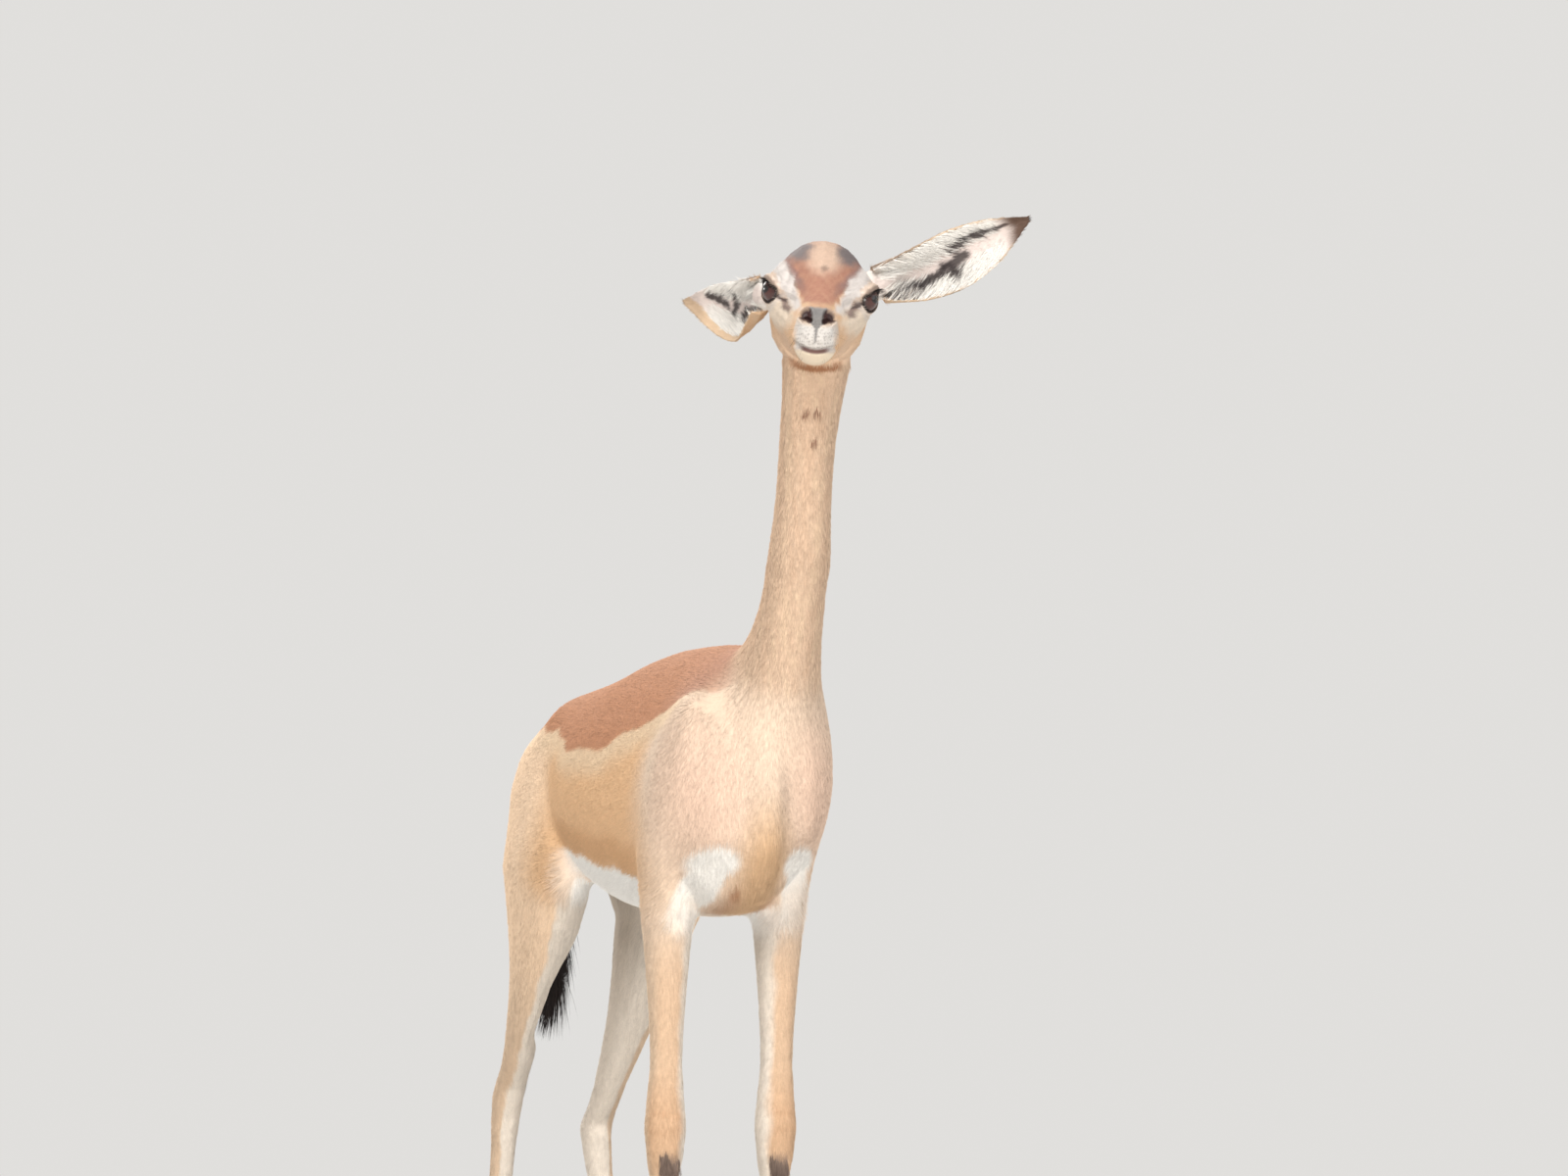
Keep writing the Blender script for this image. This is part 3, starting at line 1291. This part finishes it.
def grow_tail_tuft(coat, tail):
    low = tail & (in_body(coat.skin.points)[:, 2] < 640)
    at = Roots(coat, low, 0.9)
    height = in_body(at.points)[:, 2]
    out = at.normals * np.array([1, 1, 0])
    hang = np.stack([-0.2 * smooth(520, 480, height), 0 * height, -np.ones(at.count)], 1)
    ways = unit(hang + out * 0.24 + coat.noise(at.count, 0.07))
    length = np.minimum(coat.rng.uniform(45, 78, at.count), height - 430).clip(8)
    width = coat.rng.uniform(0.8, 1.3, at.count)
    coat.hang("hair_tail", at, ways, length, width, linear(TAIL_DARK), None, 2, -out * 0.1)


def grow_brushes(coat, forelegs):
    """The dark brush of longer hair on the front of each leg, just under the knee."""
    skin = coat.skin
    height = in_body(skin.points)[:, 2]
    top = 320 + 5 * ripple(in_body(skin.points), 9, 26)
    fronts = forelegs & (height > 290) & (height < top) & (skin.normals[:, 1] < -0.8)
    at = Roots(coat, fronts, 1.9)
    ways = unit(np.array([0, -0.06, -1]) + at.normals * 0.16 + coat.noise(at.count, 0.09))
    length = coat.rng.uniform(10, 24, at.count)
    width = coat.rng.uniform(0.4, 0.7, at.count)
    coat.hang("hair_brushes", at, ways, length, width, linear(BRUSH), FORELEGS_X, 2, at.normals * -0.05)


def grow_whiskers(coat, on_head):
    """A few stiff hairs on the lips and chin."""
    head = in_head(coat.skin.points)
    lips = on_head & (head[:, 1] < -78) & (head[:, 2] < -46) & (np.abs(head[:, 0]) > 6)
    at = Roots(coat, lips, 0.1)
    ways = unit(at.normals + HEAD_AXES @ np.array([0, -0.2, -0.7]) + coat.noise(at.count, 0.2))
    length = coat.rng.uniform(6, 15, at.count)
    coat.hang("hair_whiskers", at, ways, length, np.full(at.count, 0.2), linear(SOOT), None, 1, None, 2)


class Row:
    """Roots set by hand."""

    def __init__(self, points, normals):
        self.points = points
        self.normals = normals
        self.count = len(points)


def grow_lashes(coat, side, name):
    """The lashes of the upper lid."""
    centre = from_head(side * EYE_SIDE, -EYE_FORWARD, 0)
    facing, across, rise = eye_axes(side)
    turn = coat.rng.uniform(0.08, 0.9, 90) * pi
    out = across * np.cos(turn)[:, None] + rise * np.sin(turn)[:, None]
    angle = (lid_opening(turn) + radians(4))[:, None]
    root = facing * np.cos(angle) + out * np.sin(angle)
    at = Row(centre + root * (16.6 * MM), unit(out - root * 0.3))
    ways = unit(root * 0.6 + across * 0.75 - rise * 0.2 + coat.noise(at.count, 0.1))
    length = coat.rng.uniform(5, 10, at.count)
    width = np.full(at.count, 0.42)
    coat.hang(name, at, ways, length, width, linear(LASH), None, 1, at.normals * 0 - rise * 0.1, 2)


# Eyes and hooves


def eye_material():
    made, tree, shader = material("eye_surface", linear((30, 18, 12)), 0.04, {"Specular IOR Level": 0.6})
    place = node(tree, "ShaderNodeAttribute", attribute_name="iris")
    shade = ramp(tree, place.outputs["Fac"], [
        (0.0, linear((14, 9, 8))), (0.30, linear((20, 12, 10))),
        (0.42, linear((72, 36, 31))), (0.72, linear((60, 31, 28))),
        (0.88, linear((24, 16, 14))), (1.0, linear((96, 76, 70))),
    ])
    tree.links.new(shade, shader.inputs["Base Color"])
    return made


def make_eye(name, side, surface):
    """An eyeball with a raised cornea, its iris drawn by how far each point is from its middle."""
    facing = eye_axes(side)[0]
    level = unit(np.cross(UP, facing))
    rise = np.cross(facing, level)
    rows, columns = 40, 64
    a, b = np.meshgrid(np.linspace(0, pi, rows), np.linspace(0, tau, columns, endpoint=False), indexing="ij")
    cornea = 1 + 0.035 * smooth(0.62, 0.1, a)
    radius = EYE_RADIUS * MM * cornea
    local = np.stack([np.cos(a), np.sin(a) * np.cos(b), np.sin(a) * np.sin(b)], -1) * radius[..., None]
    points = middle(name) + local.reshape(-1, 3) @ np.array([facing, level, rise])
    oval = np.where(a < 0.5, np.hypot(a * np.cos(b), a * np.sin(b) * 1.5), a)
    iris = np.clip(oval / 1.1, 0, 1).ravel()
    i, j = np.meshgrid(np.arange(rows - 1), np.arange(columns), indexing="ij")
    k = (j + 1) % columns
    corners = [i * columns + j, (i + 1) * columns + j, (i + 1) * columns + k, i * columns + k]
    one, two, three, four = (c.ravel() for c in corners)
    triangles = np.concatenate([np.stack([one, two, three], 1), np.stack([one, three, four], 1)])
    piece = mesh_of(f"{name}_ball", points, triangles)
    layer = piece.data.attributes.new("iris", "FLOAT", "POINT")
    layer.data.foreach_set("value", iris.astype(np.float32))
    piece.data.materials.append(surface)
    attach(piece, "root")
    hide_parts(name)


def dress_hooves():
    """Rounds the facets of the claws off with modifiers and gives them horn."""
    horn = horn_material()
    for name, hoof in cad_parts.items():
        if name.startswith("hoof_"):
            hoof.data.materials.clear()
            hoof.data.materials.append(horn)
            even = hoof.modifiers.new("even", "REMESH")
            even.mode = "VOXEL"
            even.voxel_size = 1.5 * MM
            even.use_smooth_shade = True
            rounded = hoof.modifiers.new("rounded", "SMOOTH")
            rounded.factor = 0.5
            rounded.iterations = 7


# The setting


def add_light(name, place, aim, size, power, colour):
    lamp = bpy.data.lights.new(name, "AREA")
    lamp.shape = "DISK"
    lamp.size = size
    lamp.energy = power
    lamp.color = colour
    holder = bpy.data.objects.new(name, lamp)
    holder.location = place
    holder.rotation_euler = (Vector(aim) - Vector(place)).to_track_quat("-Z", "Y").to_euler()
    bpy.context.scene.collection.objects.link(holder)


# How far out the floor is whole, and where it has faded into the background, in metres
FLOOR_SOLID = 2.5
FLOOR_GONE = 8.0


def fade_out(tree, shader, near, far):
    """Lets a surface turn clear between two distances from its middle."""
    place = node(tree, "ShaderNodeTexCoord")
    distance = node(tree, "ShaderNodeVectorMath", operation="LENGTH")
    share = node(tree, "ShaderNodeMapRange")
    share.inputs["From Min"].default_value = near
    share.inputs["From Max"].default_value = far
    clear = node(tree, "ShaderNodeBsdfTransparent")
    mix = node(tree, "ShaderNodeMixShader")
    tree.links.new(place.outputs["Object"], distance.inputs[0])
    tree.links.new(distance.outputs["Value"], share.inputs["Value"])
    tree.links.new(share.outputs["Result"], mix.inputs["Fac"])
    tree.links.new(shader.outputs["BSDF"], mix.inputs[1])
    tree.links.new(clear.outputs["BSDF"], mix.inputs[2])
    tree.links.new(mix.outputs["Shader"], tree.nodes["Material Output"].inputs["Surface"])


def make_floor():
    mesh = bpy.data.meshes.new("floor")
    floor = bmesh.new()
    bmesh.ops.create_circle(floor, cap_ends=True, segments=96, radius=60)
    floor.to_mesh(mesh)
    floor.free()
    piece = bpy.data.objects.new("floor", mesh)
    bpy.context.scene.collection.objects.link(piece)
    made, tree, shader = material("floor_paper", (0.7, 0.69, 0.67), 0.9)
    shade = ramp(tree, noise_of(tree, 3.0, 4), [(0.3, (0.69, 0.68, 0.66)), (0.7, (0.72, 0.71, 0.69))])
    tree.links.new(shade, shader.inputs["Base Color"])
    fade_out(tree, shader, FLOOR_SOLID, FLOOR_GONE)
    mesh.materials.append(made)


def make_world():
    world = bpy.data.worlds.new("studio")
    bpy.context.scene.world = world
    world.use_nodes = True
    background = world.node_tree.nodes["Background"]
    background.inputs["Color"].default_value = (1.0, 0.985, 0.96, 1)
    background.inputs["Strength"].default_value = 0.75


CAMERA_AZIMUTH = radians(-18)
CAMERA_ELEVATION = radians(-3)
CAMERA_DISTANCE = 8.5
CAMERA_AIM = from_body(55, -208, 872)
PIXEL = 0.000955  # metres on the animal
PHOTO_WIDTH = 1600
SENSOR = 36


def make_camera():
    camera = bpy.data.cameras.new("camera")
    camera.sensor_width = SENSOR
    camera.lens = SENSOR * CAMERA_DISTANCE / (PHOTO_WIDTH * PIXEL)
    camera.clip_end = 200
    holder = bpy.data.objects.new("camera", camera)
    a, e = CAMERA_AZIMUTH, CAMERA_ELEVATION
    back = np.array([np.sin(a) * np.cos(e), -np.cos(a) * np.cos(e), np.sin(e)])
    holder.location = CAMERA_AIM + back * CAMERA_DISTANCE
    holder.rotation_euler = Vector(-back).to_track_quat("-Z", "Y").to_euler()
    bpy.context.scene.collection.objects.link(holder)
    bpy.context.scene.camera = holder


def make_setting():
    make_camera()
    make_world()
    make_floor()
    centre = from_body(20, -60, 700)
    add_light("key", centre + np.array([-2.2, -3.6, 3.0]), centre, 2.0, 124, (1.0, 0.955, 0.89))
    add_light("fill", centre + np.array([3.4, -2.4, 1.2]), centre, 3.0, 22, (0.93, 0.96, 1.0))
    add_light("bounce", centre + np.array([-0.4, -3.4, -0.45]), centre, 1.6, 42, (1.0, 0.95, 0.88))
    add_light("sky", centre + np.array([-1.0, -2.6, 2.7]), centre, 2.6, 40, (0.86, 0.93, 1.0))
    add_light("back", centre + np.array([-0.6, 3.4, 2.8]), centre, 2.6, 110, (1.0, 0.98, 0.95))
    bpy.context.scene.view_settings.view_transform = "Standard"


# Building

skin = Skin()
COAT_MATERIAL = coat_material("coat_hair", 420, 0)
colours = coat_colour(skin.points, skin.normals, skin.share)
store_marks(skin.mesh, colours)
skin.mesh.materials.append(coat_material("coat_skin", 900, 0.5 * MM))
skin.mesh.polygons.foreach_set("use_smooth", np.ones(len(skin.mesh.polygons), bool))
skin_piece = bpy.data.objects.new("skin", skin.mesh)
bpy.context.scene.collection.objects.link(skin_piece)
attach(skin_piece, "root")
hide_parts(*[n for nodes in REGIONS.values() for n in nodes])

coat = Coat(skin)
grow_coat(coat)
grow_lashes(coat, LEFT, "lashes_left")
grow_lashes(coat, RIGHT, "lashes_right")
EYE_SURFACE = eye_material()
make_eye("eye_left", 1, EYE_SURFACE)
make_eye("eye_right", -1, EYE_SURFACE)
dress_hooves()
make_setting()
